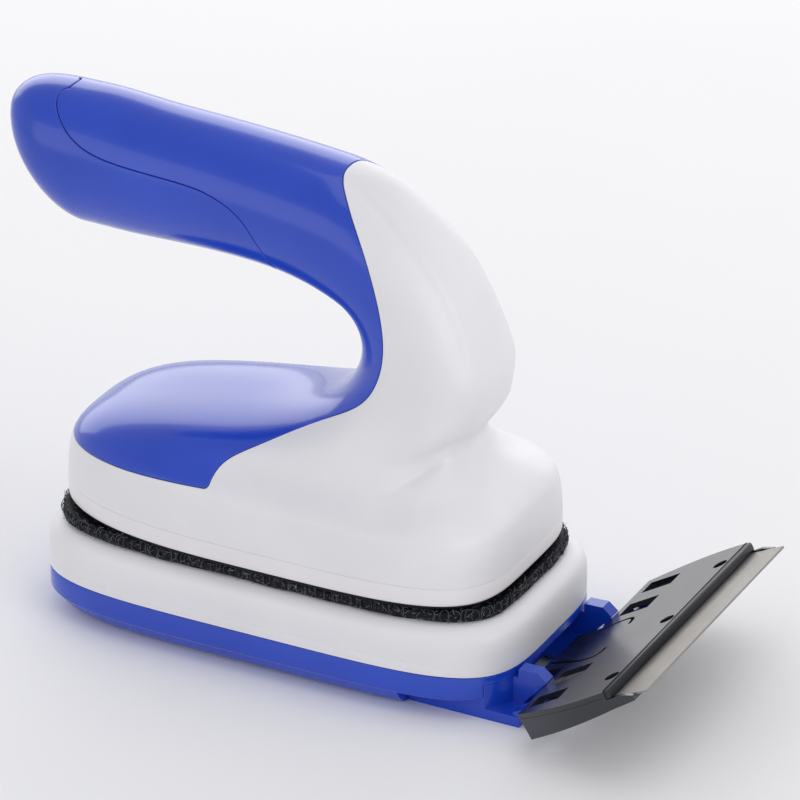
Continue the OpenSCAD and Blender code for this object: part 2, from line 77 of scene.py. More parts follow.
# Key sections of the outer half, from its foot, up the neck and along the handle: lower or
# rear x, z, upper or front x, z, half width, front and rear roundness; z from FOOT_Z.
KEYS = [
    [-68.2, 5.4, 63.3, 5.4, 36.0, 4.2, 2.9],        # side wall
    [-68.0, 10.0, 63.1, 10.0, 35.8, 4.2, 2.9],
    [-67.6, 14.0, 62.6, 14.0, 35.3, 4.2, 2.9],
    [-66.2, 18.0, 61.5, 18.0, 34.3, 4.0, 2.9],      # shoulder
    [-62.6, 21.2, 58.6, 21.2, 31.9, 3.6, 3.1],
    [-55.5, 24.2, 54.0, 24.2, 29.2, 3.0, 3.2],      # deck
    [-43.0, 27.3, 50.0, 27.3, 27.2, 2.7, 3.0],
    [-27.0, 30.2, 47.8, 30.2, 25.6, 2.5, 2.8],
    [-10.0, 33.6, 47.0, 34.0, 23.6, 2.5, 2.5],      # foot of the neck
    [5.0, 39.2, 51.0, 41.0, 21.2, 2.6, 2.4],
    [13.8, 47.5, 53.5, 49.5, 19.8, 2.8, 2.4],
    [17.0, 56.5, 52.9, 58.0, 19.1, 2.9, 2.4],       # middle of the neck
    [14.6, 64.4, 47.8, 71.0, 18.6, 2.9, 2.35],
    [8.2, 68.8, 39.2, 85.0, 18.1, 2.7, 2.3],
    [-2.0, 71.2, 24.6, 98.2, 17.4, 2.4, 2.25],      # bend into the handle
    [-15.0, 72.6, 6.0, 103.9, 16.7, 2.2, 2.2],
    [-33.0, 72.8, -24.0, 106.8, 16.0, 2.2, 2.2],    # handle
    [-50.0, 72.4, -46.0, 108.2, 15.8, 2.2, 2.2],
    [-64.0, 72.6, -64.0, 109.6, 15.6, 2.2, 2.2],
]
TIP_LENGTH = 23.4
TIP_AXIS_Z = 102.5
TIP_RINGS = 24
RINGS_PER_KEY = 9
RING_POINTS = 208
LOOP_SAMPLES = 1440

# Side views (x, z) of the two parting lines of the outer half.
SPINE_SEAM = [
    (8.6, 137), (11.2, 132.9), (17.2, 126.5), (24.3, 114.5), (28.7, 99), (28.4, 87.5),
    (24.8, 78.9), (16.5, 72), (1, 63.7), (-9.8, 57.8), (-13.6, 53.6), (-14.2, 49.9),
]
SPINE_SEAM_REST = [(-40, 48.5), (-75, 47.2), (-110, 47.2), (-110, 160), (8.6, 160)]
TAIL_SEAM = [
    (-70.2, 139.9), (-71.5, 138.6), (-67, 133.6), (-60.8, 129.5), (-50.1, 127), (-32.3, 125.9),
    (-21.9, 124.4), (-13.5, 120.4), (-8.6, 114.2), (-6.2, 108.5), (-4.8, 99),
]
TAIL_SEAM_REST = [(-4.8, 90), (-110, 90), (-110, 160), (-69, 160), (-69, 142)]
SEAM_GAP = 0.14
EDGE_RADIUS = 0.3         # rounding of each panel's edge at a parting line
EDGE_STEPS = (0.0, 0.08, 0.3, 0.6, 1.0)

# The crease where the neck's chin meets the deck, from the front to one side.
CREASE = [
    (47.4, 0, 65.4), (46.4, 10.7, 66.2), (42.6, 15.1, 63.1), (39.4, 19.2, 60.2),
    (35.3, 23.1, 57.8), (31.6, 26.2, 55.8),
]
# Side view (x, z) of the upper limit of the set-back deck beside the neck.
FACET_TOP = [
    (22, 63), (26, 61), (29, 58.2), (31.6, 56.3), (35.3, 57.8), (39.4, 60.2), (42.6, 63.1),
    (46.4, 66.2),
]
FACET_DEPTH = 0.9
# The soft edge between the neck's front face and its flank, as (x, half width).
RIDGE_DEPTH = 0.95
RIDGE = [(12, 5.4), (20.4, 7.4), (34.6, 10.2), (42.1, 10.9), (47.5, 11.4), (50.2, 12.2), (53, 13)]


# =================== curves and outlines ===================

def signed_power(value, exponent):
    """A power of a value's size that keeps its sign."""
    return np.sign(value) * np.abs(value) ** exponent


def smooth_curve(points, steps, level_end=False):
    """A curvature-continuous curve through the points, with steps samples in each span."""
    p = np.array(points, float)
    last = len(p) - 1
    system = np.zeros((last + 1, last + 1))
    bend = np.zeros_like(p)
    system[0, 0] = 1
    system[last, last] = 1
    for i in range(1, last):
        system[i, i - 1:i + 2] = 1, 4, 1
        bend[i] = 6 * (p[i - 1] - 2 * p[i] + p[i + 1])
    if level_end:
        slope = p[last] - p[last - 1]
        slope[1:2] = 0
        slope[3:] = 0
        system[last, last - 1:] = 1, 2
        bend[last] = 6 * (slope - (p[last] - p[last - 1]))
    m = np.linalg.solve(system, bend)
    curve = []
    for i in range(last):
        for t in np.arange(steps) / steps:
            a = 1 - t
            bulge = ((a ** 3 - a) * m[i] + (t ** 3 - t) * m[i + 1]) / 6
            curve.append(a * p[i] + t * p[i + 1] + bulge)
    curve.append(p[last])
    return np.array(curve)


def even_loop(points, count):
    """A closed loop resampled to evenly spaced points, from its first point on."""
    closed = np.vstack([points, points[:1]])
    run = np.concatenate([[0.0], np.cumsum(np.linalg.norm(np.diff(closed, axis=0), axis=1))])
    at = np.linspace(0, run[-1], count, endpoint=False)
    return np.stack([np.interp(at, run, closed[:, k]) for k in range(closed.shape[1])], axis=1)


def unit_loop(front, rear):
    """A rounded oblong of half size 1, with its own roundness in front and behind."""
    a = np.linspace(0, 2 * math.pi, LOOP_SAMPLES, endpoint=False)
    n = np.where(np.cos(a) > 0, front, rear)
    return signed_power(np.cos(a), 2 / n), signed_power(np.sin(a), 2 / n)


def plan_ring(centre_x, half_x, half_y, front, rear, inset, z):
    """A level rounded oblong at height z, drawn in by an inset."""
    u, v = unit_loop(front, rear)
    x = centre_x + (half_x - inset) * u
    y = (half_y - inset) * v
    return even_loop(np.stack([x, y, np.full_like(x, z)], axis=1), RING_POINTS)


def inner_ring(z, inset):
    """The inner half's outline."""
    n = INNER_ROUNDNESS
    return plan_ring(0, INNER_HALF_X, INNER_HALF_Y, n, n, inset, z)


def foot_ring(z, inset):
    """The outer half's outline at its foot."""
    rear, _, front, _, half_y, front_n, rear_n = KEYS[0]
    return plan_ring((front + rear) / 2, (front - rear) / 2, half_y, front_n, rear_n, inset, z)


def pad_ring(z, inset):
    """The hook pad's outline."""
    n = PAD_ROUNDNESS
    return plan_ring(PAD_CENTRE_X, PAD_HALF_X, PAD_HALF_Y, n, n, inset, z)


# =================== mesh helpers ===================

def to_object(name, mesh):
    """Puts a mesh in the scene."""
    obj = bpy.data.objects.new(name, mesh)
    bpy.context.scene.collection.objects.link(obj)
    return obj


def make_object(name, vertices, faces, smooth_angle=35):
    """An object from vertices in millimetres, with consistent outward faces."""
    mesh = bpy.data.meshes.new(name)
    mesh.from_pydata((np.asarray(vertices) * MM).tolist(), [], faces)
    bm = bmesh.new()
    bm.from_mesh(mesh)
    bmesh.ops.recalc_face_normals(bm, faces=bm.faces)
    bm.to_mesh(mesh)
    bm.free()
    shade(mesh, smooth_angle)
    return to_object(name, mesh)


def shade(mesh, smooth_angle):
    """Shades a mesh smooth, except at edges sharper than an angle in degrees."""
    mesh.shade_smooth()
    mesh.set_sharp_from_angle(angle=math.radians(smooth_angle))


def bake(obj):
    """Applies every modifier of an object to its mesh."""
    depsgraph = bpy.context.evaluated_depsgraph_get()
    mesh = bpy.data.meshes.new_from_object(obj.evaluated_get(depsgraph))
    obj.modifiers.clear()
    obj.data = mesh


def ring_faces(count, rings):
    """Quads between consecutive rings of count points each."""
    faces = []
    for i in range(rings - 1):
        for j in range(count):
            a = i * count + j
            b = i * count + (j + 1) % count
            faces.append((a, b, b + count, a + count))
    return faces


def closed_rings(rings):
    """Vertices and faces of a solid skinned over rings, with a flat face on its two end rings."""
    count = len(rings[0])
    faces = ring_faces(count, len(rings))
    faces.append(tuple(range(count - 1, -1, -1)))
    faces.append(tuple(range((len(rings) - 1) * count, len(rings) * count)))
    return np.concatenate(rings), faces


def stack(name, rings, smooth_angle=35):
    """An object skinned over rings."""
    return make_object(name, *closed_rings(rings), smooth_angle)


def prism(name, outline, low, high):
    """A solid from an (x, y) outline, between two heights."""
    outline = np.array(outline, float)
    rings = [np.column_stack([outline, np.full(len(outline), z)]) for z in (low, high)]
    return stack(name, rings)


def block(name, low, high):
    """A box between its lowest and highest corners."""
    outline = [(low[0], low[1]), (high[0], low[1]), (high[0], high[1]), (low[0], high[1])]
    return prism(name, outline, low[2], high[2])


def carve(obj, *tools):
    """Cuts each tool out of an object and removes the tool."""
    for tool in tools:
        cut = obj.modifiers.new("cut", "BOOLEAN")
        cut.operation = "DIFFERENCE"
        cut.solver = "EXACT"
        cut.object = tool
        bpy.context.view_layer.update()
        bake(obj)
        bpy.data.objects.remove(tool)


def soften(obj, width, segments=3):
    """Rounds an object's sharp edges by a width in millimetres and shades its flats flat."""
    round_edges = obj.modifiers.new("round", "BEVEL")
    round_edges.width = width * MM
    round_edges.segments = segments
    round_edges.limit_method = "ANGLE"
    round_edges.angle_limit = math.radians(28)
    round_edges.use_clamp_overlap = True
    bake(obj)
    shade(obj.data, 40)
    even = obj.modifiers.new("even", "WEIGHTED_NORMAL")
    even.keep_sharp = True
    bake(obj)


def flat_copy(node, name):
    """A copy of a flat-sided CAD node with its triangles merged back into whole faces."""
    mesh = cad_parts[node].data.copy()
    mesh.name = name
    mesh.materials.clear()
    bm = bmesh.new()
    bm.from_mesh(mesh)
    bmesh.ops.remove_doubles(bm, verts=bm.verts, dist=0.002 * MM)
    flat_angle = math.radians(0.6)
    bmesh.ops.dissolve_limit(bm, angle_limit=flat_angle, verts=bm.verts, edges=bm.edges)
    bm.to_mesh(mesh)
    bm.free()
    mesh.validate()
    return to_object(name, mesh)


def tube(points, radius, sides):
    """Vertices and faces of a closed tube along a few points."""
    points = np.asarray(points, float)
    along = np.gradient(points, axis=0)
    along /= np.linalg.norm(along, axis=1)[:, None]
    off_axis = (0.31, 0.52, 0.8)
    guide = np.cross(along, off_axis)
    guide /= np.linalg.norm(guide, axis=1)[:, None]
    other = np.cross(along, guide)
    angles = 2 * math.pi * np.arange(sides) / sides
    rings = [p + radius * (np.outer(np.cos(angles), g) + np.outer(np.sin(angles), o))
             for p, g, o in zip(points, guide, other)]
    return closed_rings(rings)


def join_parts(parts):
    """One vertex array and face list from several."""
    vertices = []
    faces = []
    offset = 0
    for part_vertices, part_faces in parts:
        vertices.append(part_vertices)
        faces.extend(tuple(i + offset for i in face) for face in part_faces)
        offset += len(part_vertices)
    return np.concatenate(vertices), faces


def finish_piece(obj, material, body, slot, *nodes):
    """Gives a piece its material and its body, and hides the CAD nodes that it stands for; its slot is
    not used.
    """
    obj.data.materials.clear()
    obj.data.materials.append(material)
    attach(obj, body)
    if nodes:
        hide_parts(*nodes)
    return obj


# =================== materials ===================

def new_material(name):
    """A node material, with its nodes, links and main shader."""
    material = bpy.data.materials.new(name)
    material.use_nodes = True
    nodes = material.node_tree.nodes
    return material, nodes, material.node_tree.links, nodes["Principled BSDF"]


def noise(nodes, links, scale, detail=2.0, stretch=(1, 1, 1)):
    """A noise texture in the part's own coordinates; scale is in features per metre."""
    place = nodes.new("ShaderNodeTexCoord")
    mapping = nodes.new("ShaderNodeMapping")
    mapping.inputs["Scale"].default_value = stretch
    texture = nodes.new("ShaderNodeTexNoise")
    texture.inputs["Scale"].default_value = scale
    texture.inputs["Detail"].default_value = detail
    links.new(place.outputs["Object"], mapping.inputs["Vector"])
    links.new(mapping.outputs["Vector"], texture.inputs["Vector"])
    return texture.outputs["Fac"]


def ramp(nodes, links, value, stops):
    """A colour ramp: stops are (position, colour)."""
    node = nodes.new("ShaderNodeValToRGB")
    elements = node.color_ramp.elements
    while len(elements) < len(stops):
        elements.new(0.5)
    for element, (position, colour) in zip(elements, stops):
        element.position = position
        element.color = (*colour, 1)
    links.new(value, node.inputs["Fac"])
    return node.outputs["Color"]


def spread(nodes, links, value, low, high):
    """Maps a noise value to the range low to high."""
    node = nodes.new("ShaderNodeMapRange")
    node.inputs["From Min"].default_value = 0.3
    node.inputs["From Max"].default_value = 0.7
    node.inputs["To Min"].default_value = low
    node.inputs["To Max"].default_value = high
    links.new(value, node.inputs["Value"])
    return node.outputs["Result"]


def bump(nodes, links, height, strength, distance, below=None):
    """A bump of a given depth in metres, on top of another bump if there is one."""
    node = nodes.new("ShaderNodeBump")
    node.inputs["Strength"].default_value = strength
    node.inputs["Distance"].default_value = distance
    links.new(height, node.inputs["Height"])
    if below is not None:
        links.new(below, node.inputs["Normal"])
    return node.outputs["Normal"]


def moulded_plastic(name, dark, light, gloss, coat=0.0, coat_gloss=0.1):
    """Glossy moulded plastic: faint flow mottling, uneven gloss and a fine grain."""
    material, nodes, links, shader = new_material(name)
    flow = noise(nodes, links, 34, 3)
    fine = noise(nodes, links, 2600, 2)
    waves = noise(nodes, links, 70, 1)
    links.new(ramp(nodes, links, flow, [(0.3, dark), (0.7, light)]), shader.inputs["Base Color"])
    links.new(spread(nodes, links, flow, gloss - 0.03, gloss + 0.04), shader.inputs["Roughness"])
    sink = bump(nodes, links, waves, 0.25, 0.06 * MM)
    links.new(bump(nodes, links, fine, 0.12, 0.01 * MM, sink), shader.inputs["Normal"])
    shader.inputs["Coat Weight"].default_value = coat
    shader.inputs["Coat Roughness"].default_value = coat_gloss
    return material


def brushed_metal(name, dark, light, gloss, stretch, metallic):
    """Ground metal: fine scratches along one direction over a cloudy stain."""
    material, nodes, links, shader = new_material(name)
    scratches = noise(nodes, links, 900, 4, stretch)
    cloud = noise(nodes, links, 60, 3)
    links.new(ramp(nodes, links, cloud, [(0.3, dark), (0.7, light)]), shader.inputs["Base Color"])
    links.new(spread(nodes, links, scratches, gloss - 0.06, gloss + 0.1), shader.inputs["Roughness"])
    links.new(bump(nodes, links, scratches, 0.12, 0.01 * MM), shader.inputs["Normal"])
    shader.inputs["Metallic"].default_value = metallic
    return material


def fibre(name, dark, light, scale, depth, sheen):
    """Fabric or rubber: dark strands or grains with paler ones between them."""
    material, nodes, links, shader = new_material(name)
    strands = noise(nodes, links, scale, 4)
    links.new(ramp(nodes, links, strands, [(0.35, dark), (0.75, light)]), shader.inputs["Base Color"])
    links.new(spread(nodes, links, strands, 0.36, 0.7), shader.inputs["Roughness"])
    links.new(bump(nodes, links, strands, 0.8, depth), shader.inputs["Normal"])
    shader.inputs["Specular IOR Level"].default_value = 0.2
    shader.inputs["Sheen Weight"].default_value = sheen
    return material


def ferrite():
    """Sintered magnet: grey, matt and finely pitted."""
    material, nodes, links, shader = new_material("ferrite")
    pits = noise(nodes, links, 1500, 5)
    greys = [(0.3, (0.03, 0.03, 0.033)), (0.7, (0.08, 0.08, 0.085))]
    links.new(ramp(nodes, links, pits, greys), shader.inputs["Base Color"])
    links.new(spread(nodes, links, pits, 0.5, 0.75), shader.inputs["Roughness"])
    links.new(bump(nodes, links, pits, 0.5, 0.05 * MM), shader.inputs["Normal"])
    shader.inputs["Metallic"].default_value = 0.4
    return material


# Plastics: dark and light colour, roughness, then the coat's weight and roughness.
PLASTICS = {
    "white_plastic": ((0.765, 0.76, 0.785), (0.81, 0.805, 0.825), 0.42, 0.08),
    "foot_plastic": ((0.79, 0.765, 0.785), (0.83, 0.805, 0.825), 0.45, 0.05),
    "blue_plastic": ((0.004, 0.046, 0.47), (0.008, 0.058, 0.55), 0.22, 0.35, 0.07),
    "smoke_plastic": ((0.008, 0.010, 0.016), (0.015, 0.017, 0.026), 0.21, 0.35, 0.14),
    "rim_plastic": ((0.004, 0.006, 0.011), (0.009, 0.011, 0.018), 0.4),
    "pin_plastic": ((0.004, 0.004, 0.005), (0.012, 0.012, 0.014), 0.5),
    "inner_plastic": ((0.012, 0.012, 0.014), (0.03, 0.03, 0.034), 0.45),
}
# Metals: dark and light colour, roughness, stretch of the scratches, metallic share.
METALS = {
    "blade_steel": ((0.27, 0.255, 0.24), (0.32, 0.305, 0.285), 0.42, (6, 0.4, 6), 0.6),
    "screw_steel": ((0.45, 0.45, 0.46), (0.6, 0.6, 0.6), 0.3, (1, 1, 1), 1.0),
    "yoke_steel": ((0.38, 0.39, 0.41), (0.52, 0.53, 0.54), 0.38, (0.5, 6, 6), 1.0),
}
# Fabrics and rubber: dark and light colour, strands per metre, their depth in metres, sheen.
FIBRES = {
    "seal_rubber": ((0.008, 0.008, 0.009), (0.02, 0.02, 0.022), 1800, 0.03 * MM, 0.1),
    "hook_fabric": ((0.0015, 0.0018, 0.003), (0.005, 0.006, 0.010), 2600, 0.12 * MM, 0.0),
    "hook_loop": ((0.02, 0.022, 0.03), (0.085, 0.09, 0.11), 700, 0.02 * MM, 0.1),
    "hook_hair": ((0.10, 0.11, 0.13), (0.42, 0.44, 0.48), 500, 0.02 * MM, 0.2),
    "felt": ((0.002, 0.002, 0.003), (0.009, 0.009, 0.012), 1500, 0.2 * MM, 0.0),
}


def make_materials():
    """Every material, by name."""
    materials = {"magnet": ferrite()}
    for make, finishes in ((moulded_plastic, PLASTICS), (brushed_metal, METALS), (fibre, FIBRES)):
        for name, values in finishes.items():
            materials[name] = make(name, *values)
    return materials


# =================== the outer half's skin ===================

def left_at_tip(t, fullness, roundness):
    """The share of a section left at t along the tip: a fuller side stays wide for longer."""
    if t == 1:
        return 0.01
    return max(1 - t, 1 - t ** fullness) ** (1 / roundness)


def tip_sections():
    """Sections of the handle's round end: its top stays full for longer than its belly."""
    base = np.array(KEYS[-1], float)
    sections = []
    for j in range(1, TIP_RINGS + 1):
        t = math.sin(math.pi / 2 * j / TIP_RINGS)
        s = base.copy()
        s[[0, 2]] -= TIP_LENGTH * t
        s[1] = TIP_AXIS_Z + (base[1] - TIP_AXIS_Z) * left_at_tip(t, 1.7, 1.6)
        s[3] = TIP_AXIS_Z + (base[3] - TIP_AXIS_Z) * left_at_tip(t, 4.5, 2.4)
        s[4] *= left_at_tip(t, 2.9, 2.2)
        sections.append(s)
    return np.array(sections)


def section_ring(section):
    """The skin's outline at one section."""
    low_x, low_z, high_x, high_z, half_y, front, rear = section
    u, v = unit_loop(front, rear)
    x = (low_x + high_x) / 2 + (high_x - low_x) / 2 * u
    z = (low_z + high_z) / 2 + (high_z - low_z) / 2 * u + FOOT_Z
    return even_loop(np.stack([x, half_y * v, z], axis=1), RING_POINTS)


def grid_normals(grid):
    """Outward normals of a grid of rings."""
    around = np.roll(grid, -1, axis=1) - np.roll(grid, 1, axis=1)
    along = np.gradient(grid, axis=0)
    normals = np.cross(around, along)
    length = np.linalg.norm(normals, axis=2)[:, :, None]
    return normals / np.maximum(length, 1e-9)


def bell(value, width):
    """1 at zero, falling off smoothly over a width."""
    return np.exp(-(value / width) ** 2)


def smooth_step(value, low, high):
    """Grows smoothly from 0 at low to 1 at high."""
    t = np.clip((value - low) / (high - low), 0, 1)
    return t * t * (3 - 2 * t)


def nearest_on_path(points, path):
    """Each point's distance to a path, its nearest point there, that point's run, the whole run."""
    best = np.full(len(points), np.inf)
    nearest = np.zeros_like(points)
    along = np.zeros(len(points))
    run = 0.0
    for a, b in zip(path[:-1], path[1:]):
        edge = b - a
        span = np.linalg.norm(edge)
        t = np.clip((points - a) @ edge / span ** 2, 0, 1)
        foot = a + t[:, None] * edge
        gap = np.linalg.norm(points - foot, axis=1)
        closer = gap < best
        best[closer] = gap[closer]
        nearest[closer] = foot[closer]
        along[closer] = run + t[closer] * span
        run += span
    return best, nearest, along, run


def crease_height(points):
    """The crease under the neck's chin: soft towards the neck, steeper towards the deck."""
    folded = points * (1, 0, 1) + np.abs(points) * (0, 1, 0)
    gap, nearest, along, length = nearest_on_path(folded, smooth_curve(CREASE, 6))
    neck_lean = 0.45
    rise = folded - nearest
    neck_side = rise[:, 2] - neck_lean * rise[:, 0] > 0
    flank = smooth_step(along, 4, 16)
    valley = bell(gap, np.where(neck_side, 3.6, 1.8)) * (0.1 + 1.3 * flank)
    valley *= 1 - smooth_step(along, length - 15, length - 1)
    swell_at = 7.5
    up_neck = np.where(neck_side, gap, -gap)
    swell = bell(up_neck - swell_at, 4.2) * (0.15 + 0.85 * flank)
    swell *= 1 - smooth_step(along, length - 18, length - 3)
    return swell - valley


def facet_height(points):
    """The deck beside the neck's foot, set back in a hollow that runs out towards the front."""
    x = points[:, 0]
    z = points[:, 2]
    top = np.interp(x, *zip(*FACET_TOP))
    softness = 1.2 + 3.5 * smooth_step(-x, -34, -26)
    below_crease = 1 - smooth_step((z - top) / softness, -0.6, 1.4)
    lengthwise = smooth_step(x, 24, 36) * (1 - smooth_step(x, 35, 50))
    return -FACET_DEPTH * below_crease * lengthwise * smooth_step(z, 48, 53)


def ridge_height(points):
    """The neck's flank is set back a little behind its front face, and runs out into it again."""
    x, y, z = points.T
    edge = smooth_curve(RIDGE, 8)
    past = np.abs(y) - np.interp(x, edge[:, 0], edge[:, 1])
    step = smooth_step(past, -1.8, 1.8) * bell(np.maximum(past, 0), 6.5)
    upward = smooth_step(z, 84, 98) * (1 - smooth_step(z, 128, 136))
    return -RIDGE_DEPTH * step * upward * smooth_step(x, 8, 16)


def shoulder_height(points):
    """A crisp shoulder line round the front of the deck."""
    x, _, z = points.T
    line_z = 47.6
    return 0.15 * bell(z - line_z, 1.8) * smooth_step(x, -10, 18)


def corner_height(points):
    """The deck's front corners are eased down a little."""
    x, y, z = points.T
    corner_x, corner_y, corner_z = 50, 19, 55.5
    return -0.6 * bell(x - corner_x, 7) * bell(np.abs(y) - corner_y, 8) * bell(z - corner_z, 4.5)


def outer_grid():
    """The outer half's whole skin as a grid of rings, with its surface features."""
    sections = np.vstack([smooth_curve(KEYS, RINGS_PER_KEY, level_end=True), tip_sections()])
    grid = np.array([section_ring(s) for s in sections])
    normals = grid_normals(grid)
    points = grid.reshape(-1, 3)
    features = (crease_height, facet_height, ridge_height, shoulder_height, corner_height)
    height = sum(feature(points) for feature in features)
    return grid + normals * height.reshape(grid.shape[:2])[:, :, None]


def grid_triangles(rings, count):
    """Triangles of a grid of rings that closes on one point past its last ring."""
    triangles = []
    for a, b, c, d in ring_faces(count, rings):
        triangles.append((a, b, c))
        triangles.append((a, c, d))
    pole = rings * count
    last = (rings - 1) * count
    triangles.extend((last + j, last + (j + 1) % count, pole) for j in range(count))
    return np.array(triangles)


def outer_surface():
    """Points, normals and triangles of the whole skin, with a pole at the handle's tip."""
    grid = outer_grid()
    normals = grid_normals(grid)
    points = np.vstack([grid.reshape(-1, 3), grid[-1].mean(axis=0)])
    normals = np.vstack([normals.reshape(-1, 3), (-1, 0, 0)])
    return points, normals, grid_triangles(*grid.shape[:2])


def offset_from(flat, closed):
    """The shortest way from a closed outline to each side-view point."""
    best = np.full(len(flat), np.inf)
    toward = np.zeros_like(flat)
    for a, b in zip(closed[:-1], closed[1:]):
        edge = b - a
        t = np.clip((flat - a) @ edge / (edge @ edge), 0, 1)
        offset = flat - a - t[:, None] * edge
        gap = np.linalg.norm(offset, axis=1)
        closer = gap < best
        best[closer] = gap[closer]
        toward[closer] = offset[closer]
    return best, toward


def is_inside(flat, closed):
    """Whether each side-view point is inside a closed outline."""
    inside = np.zeros(len(flat), bool)
    for a, b in zip(closed[:-1], closed[1:]):
        edge = b - a
        if edge[1]:
            spans = (a[1] > flat[:, 1]) != (b[1] > flat[:, 1])
            cross_x = a[0] + (flat[:, 1] - a[1]) / edge[1] * edge[0]
            inside ^= spans & (flat[:, 0] < cross_x)
    return inside


def region_field(points, normals, outline):
    """Distance on the skin from a side-view outline, positive outside it, and the way it grows."""
    flat = points[:, [0, 2]]
    closed = np.vstack([outline, outline[:1]])
    best, toward = offset_from(flat, closed)
    sign = np.where(is_inside(flat, closed), -1.0, 1.0)
    toward *= (sign / np.maximum(best, 1e-6))[:, None]
    grow = np.column_stack([toward[:, 0], np.zeros(len(flat)), toward[:, 1]])
    grow -= (grow * normals).sum(axis=1)[:, None] * normals
    least_rate = 0.4
    rate = np.maximum(np.linalg.norm(grow, axis=1), least_rate)
    return sign * best / rate, grow / rate[:, None]


def nearer(first, second):
    """Combines two fields: at each point, the one with the smaller value."""
    pick = first[0] < second[0]
    return np.where(pick, first[0], second[0]), np.where(pick[:, None], first[1], second[1])


def opposite(field):
    """The field of the other side of the same line."""
    return -field[0], -field[1]


def split_at(points, attributes, triangles, level):
    """Splits the triangles that the field (last attribute) crosses at a level."""
    above = attributes[:, -1] >= level
    corners = above[triangles]
    crossed = corners.any(axis=1) & ~corners.all(axis=1)
    cut = triangles[crossed]
    corners = corners[crossed]
    lone_above = corners.sum(axis=1) == 1
    lone = np.where(lone_above, corners.argmax(axis=1), (~corners).argmax(axis=1))
    rows = np.arange(len(cut))
    a, b, c = (cut[rows, (lone + k) % 3] for k in range(3))
    edges = np.sort(np.concatenate([np.column_stack([a, b]), np.column_stack([a, c])]), axis=1)
    unique, where = np.unique(edges, axis=0, return_inverse=True)
    where = where.ravel() + len(points)
    first, second = unique.T
    low, high = attributes[first, -1], attributes[second, -1]
    t = ((level - low) / (high - low))[:, None]
    points = np.vstack([points, points[first] * (1 - t) + points[second] * t])
    new_attributes = attributes[first] * (1 - t) + attributes[second] * t
    attributes = np.vstack([attributes, new_attributes])
    p, q = where[:len(cut)], where[len(cut):]
    pieces = [np.column_stack(t3) for t3 in ((a, p, q), (p, b, c), (p, c, q))]
    return points, attributes, np.vstack([triangles[~crossed], *pieces])


def unit(vectors):
    """Vectors scaled to length 1."""
    return vectors / np.maximum(np.linalg.norm(vectors, axis=1), 1e-9)[:, None]


def border_edges(triangles):
    """Directed edges that only one triangle uses."""
    edges = np.concatenate([triangles[:, [0, 1]], triangles[:, [1, 2]], triangles[:, [2, 0]]])
    ordered = np.sort(edges, axis=1)
    _, where, uses = np.unique(ordered, axis=0, return_inverse=True, return_counts=True)
    return edges[uses[where.ravel()] == 1]


def panel(name, surface, field):
    """A moulded panel: the skin where the field is positive, with rounded edges and a back."""
    points, normals, triangles = surface
    attributes = np.column_stack([normals, field[1], field[0]])
    edge = SEAM_GAP / 2
    for step in EDGE_STEPS:
        level = edge + step * EDGE_RADIUS
        points, attributes, triangles = split_at(points, attributes, triangles, level)
    inside = attributes[triangles, -1].mean(axis=1) > edge
    triangles = triangles[inside]
    used, triangles = np.unique(triangles, return_inverse=True)
    triangles = triangles.reshape(-1, 3)
    points = points[used]
    attributes = attributes[used]
    normal = unit(attributes[:, :3])
    lean = np.clip(1 - (attributes[:, -1] - edge) / EDGE_RADIUS, 0, 1)
    rise = np.sqrt(1 - lean ** 2)
    outer = points - normal * (EDGE_RADIUS * (1 - rise))[:, None]
    shading = unit(normal * rise[:, None] - unit(attributes[:, 3:6]) * lean[:, None])
    return panel_object(name, outer, points - normal * SKIN_WALL, shading, normal, triangles)


def panel_object(name, outer, inner, shading, normal, triangles):
    """Joins a panel's face and back along their border, with its own shading normals."""
    count = len(outer)
    border = border_edges(triangles)
    rim = [(b, a, a + count, b + count) for a, b in border.tolist()]
    faces = triangles.tolist() + (triangles[:, ::-1] + count).tolist() + rim
    mesh = bpy.data.meshes.new(name)
    mesh.from_pydata((np.vstack([outer, inner]) * MM).tolist(), [], faces)
    mesh.shade_smooth()
    obj = to_object(name, mesh)
    corner_normals = np.zeros((len(mesh.loops), 3))
    outside = len(triangles) * 3
    corner_normals[:outside] = shading[triangles.ravel()]
    corner_normals[outside:2 * outside] = -normal[triangles[:, ::-1].ravel()]
    mesh.normals_split_custom_set(corner_normals.tolist())
    return obj


def side_outline(seam, rest):
    """A closed side-view outline: a smooth parting line and straight lines clear of the skin."""
    return np.vstack([smooth_curve(seam, 8), np.array(rest, float)])


def make_outer_skin(materials):
    """The outer half's three panels."""
    surface = outer_surface()
    points, normals, _ = surface
    spine = region_field(points, normals, side_outline(SPINE_SEAM, SPINE_SEAM_REST))
    tail = region_field(points, normals, side_outline(TAIL_SEAM, TAIL_SEAM_REST))
    white = panel("body_skin", surface, spine)
    blue = panel("spine_skin", surface, nearer(opposite(spine), tail))
    end = panel("tail_skin", surface, opposite(tail))
    finish_piece(white, materials["white_plastic"], "outer_half", "white_plastic", "body_shell")
    finish_piece(blue, materials["blue_plastic"], "outer_half", "blue_plastic", "spine_shell")
    finish_piece(end, materials["blue_plastic"], "outer_half", "blue_plastic", "tail_shell")


def make_base_plate(materials):
    """The outer half's foot, with a soft edge at its seam; rings are (height, inset)."""
    wall = 2.4
    rim = [(FOOT_Z + wall, wall), (BASE_TOP - 0.1, wall), (BASE_TOP, wall + 0.1)]
    outside = [(BASE_TOP + 0.1, 0.15), (BASE_TOP + 0.05, 0.03), (BASE_TOP - 0.1, 0), (FOOT_Z + 1.2, 0),
               (FOOT_Z + 0.55, 0.12), (FOOT_Z + 0.2, 0.4), (FOOT_Z, 0.95)]
    plate = stack("base_rim", [foot_ring(z, inset) for z, inset in rim + outside])
    finish_piece(plate, materials["foot_plastic"], "outer_half", "white_plastic", "base_plate")


# =================== the inner half ===================

